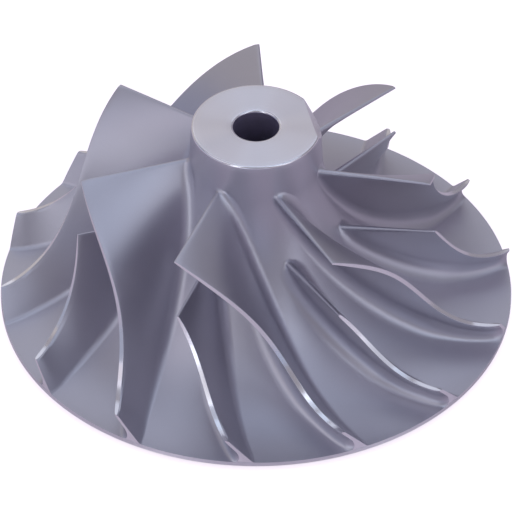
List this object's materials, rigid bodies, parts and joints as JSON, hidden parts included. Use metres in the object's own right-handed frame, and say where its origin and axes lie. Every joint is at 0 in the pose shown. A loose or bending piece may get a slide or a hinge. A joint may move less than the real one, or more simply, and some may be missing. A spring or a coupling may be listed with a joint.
{
  "type": "turbocharger compressor wheel",
  "caption": "Radial compressor wheel for a turbocharger: turned hub with a through bore, thin back disc, curved full blades and shorter splitter blades between them.",
  "frame": {"origin": "on the wheel's axis, in the plane of the thrust boss face under the back disc", "axes": "+Z along the axis from the back face to the nose, +X towards the middle of the right side of the picture, +Y away from its camera"},
  "size_m": [0.098, 0.098, 0.0424],
  "materials": {
    "hub": "satin, machined nose, bore and rim",
    "full_blade": "satin cast, machined edges",
    "splitter_blade": "satin cast, machined edges"
  },
  "bodies": {
    "root": {"hub": "hub", "full_blade_1": "full_blade", "full_blade_2": "full_blade", "full_blade_3": "full_blade", "full_blade_4": "full_blade", "full_blade_5": "full_blade", "full_blade_6": "full_blade", "full_blade_7": "full_blade", "splitter_blade_1": "splitter_blade", "splitter_blade_2": "splitter_blade", "splitter_blade_3": "splitter_blade", "splitter_blade_4": "splitter_blade", "splitter_blade_5": "splitter_blade", "splitter_blade_6": "splitter_blade", "splitter_blade_7": "splitter_blade"}
  },
  "joints": []
}
